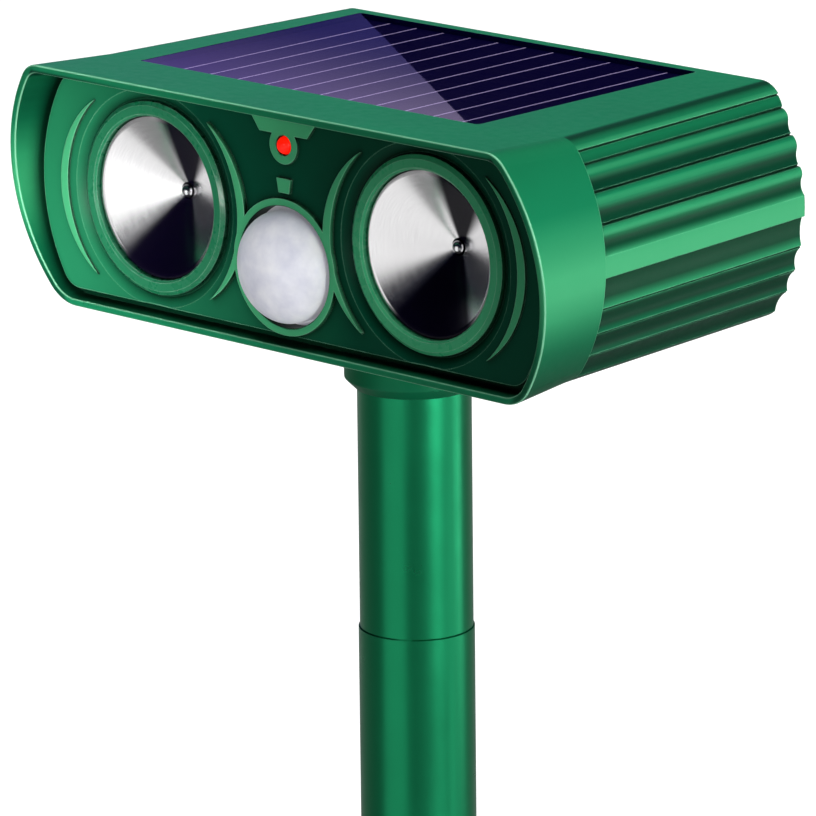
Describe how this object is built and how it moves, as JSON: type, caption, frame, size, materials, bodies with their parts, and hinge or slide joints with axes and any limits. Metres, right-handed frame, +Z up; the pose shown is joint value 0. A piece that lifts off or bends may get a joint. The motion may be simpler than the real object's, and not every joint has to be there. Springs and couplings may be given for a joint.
{
  "type": "ultrasonic pest repeller",
  "caption": "Solar ultrasonic pest repeller: rounded ribbed head with twin horn speakers, motion lens and red lamp, swivelling on a tube pole with a ground stake.",
  "frame": {"origin": "on the pole's axis at the ground line, which is the underside of the stake's flange", "axes": "+Z up along the pole, -Y towards the speakers, +X to the right seen from the front"},
  "size_m": [0.1592, 0.1011, 0.401],
  "materials": {
    "green_plastic": "satin moulded plastic",
    "green_plastic_inner": "satin moulded plastic",
    "green_trim": "semi-gloss moulded plastic",
    "green_tube": "smooth painted tube",
    "spun_metal": "spun bright cone",
    "bright_metal": "polished",
    "dark_metal": "plated steel",
    "screw_steel": "zinc plated",
    "contact_steel": "nickel plated",
    "lens_white": "milky translucent",
    "black_plastic": "matt",
    "black_rubber": "matt",
    "circuit_board": "solder mask",
    "lamp_red": "clear red",
    "capacitor_sleeve": "shrink sleeve",
    "backsheet": "matt",
    "solar_silicon": "dark blue silicon",
    "busbar_silver": "printed silver",
    "cover_glass": "clear",
    "cell_sleeve": "plain shrink sleeve",
    "lead_wire": "insulated wire"
  },
  "bodies": {
    "ground_stake": {"ground_stake": "green_plastic"},
    "lower_tube": {"lower_tube": "green_tube"},
    "upper_tube": {"upper_tube": "green_tube"},
    "head": {"battery_cells": "cell_sleeve", "battery_contacts": "contact_steel", "battery_holder": "black_plastic", "battery_leads": "lead_wire", "board_screws": "screw_steel", "capacitors": "capacitor_sleeve", "charge_port": "contact_steel", "cone_ball_left": "bright_metal", "cone_ball_right": "bright_metal", "control_chip": "black_plastic", "drive_transformer_left": "dark_metal", "drive_transformer_right": "dark_metal", "frequency_potentiometer": "dark_metal", "front_fascia": "green_plastic_inner", "housing_shell": "green_plastic", "led_indicator": "lamp_red", "main_pcb": "circuit_board", "pir_board": "circuit_board", "pir_lens": "lens_white", "pir_retainer": "black_plastic", "pir_sensor": "bright_metal", "pole_socket": "green_plastic", "port_flap_pin": "screw_steel", "power_switch_body": "black_plastic", "rear_cover": "green_plastic_inner", "rear_cover_screws": "screw_steel", "rear_gasket": "black_rubber", "sensitivity_potentiometer": "dark_metal", "socket_lock_ring": "black_plastic", "solar_backsheet": "backsheet", "solar_busbars": "busbar_silver", "solar_cells": "solar_silicon", "solar_glass": "cover_glass", "solar_leads": "lead_wire", "speaker_cone_left": "spun_metal", "speaker_cone_right": "spun_metal", "speaker_driver_left": "dark_metal", "speaker_driver_right": "dark_metal", "speaker_leads_left": "lead_wire", "speaker_leads_right": "lead_wire", "speaker_ring_left": "green_trim", "speaker_ring_right": "green_trim"},
    "frequency_knob": {"frequency_knob": "black_plastic"},
    "sensitivity_knob": {"sensitivity_knob": "black_plastic"},
    "power_slider": {"power_switch_slider": "black_plastic"},
    "port_flap": {"port_flap": "black_rubber"},
    "battery_door": {"battery_door": "green_plastic_inner", "battery_door_screws": "screw_steel"}
  },
  "joints": [
    {"name": "lower_tube_pull", "type": "slide", "parent": "ground_stake", "child": "lower_tube", "axis": [0, 0, 1], "range_m": [0, 0.022]},
    {"name": "upper_tube_pull", "type": "slide", "parent": "lower_tube", "child": "upper_tube", "axis": [0, 0, 1], "range_m": [0, 0.022]},
    {"name": "head_swivel", "type": "hinge", "parent": "upper_tube", "child": "head", "pos_m": [0, 0, 0.19], "axis": [0, 0, 1], "continuous": true},
    {"name": "frequency_knob_turn", "type": "hinge", "parent": "head", "child": "frequency_knob", "pos_m": [-0.048, 0.046, 0.229], "axis": [0, 1, 0], "range_deg": [-150, 150]},
    {"name": "sensitivity_knob_turn", "type": "hinge", "parent": "head", "child": "sensitivity_knob", "pos_m": [0.048, 0.046, 0.229], "axis": [0, 1, 0], "range_deg": [-150, 150]},
    {"name": "power_switch_slide", "type": "slide", "parent": "head", "child": "power_slider", "axis": [1, 0, 0], "range_m": [0, 0.004]},
    {"name": "port_flap_hinge", "type": "hinge", "parent": "head", "child": "port_flap", "pos_m": [0.048, 0.0466, 0.2179], "axis": [1, 0, 0], "range_deg": [0, 110]},
    {"name": "battery_door_lift", "type": "slide", "parent": "head", "child": "battery_door", "axis": [0, 1, 0], "range_m": [0, 0.03]}
  ]
}
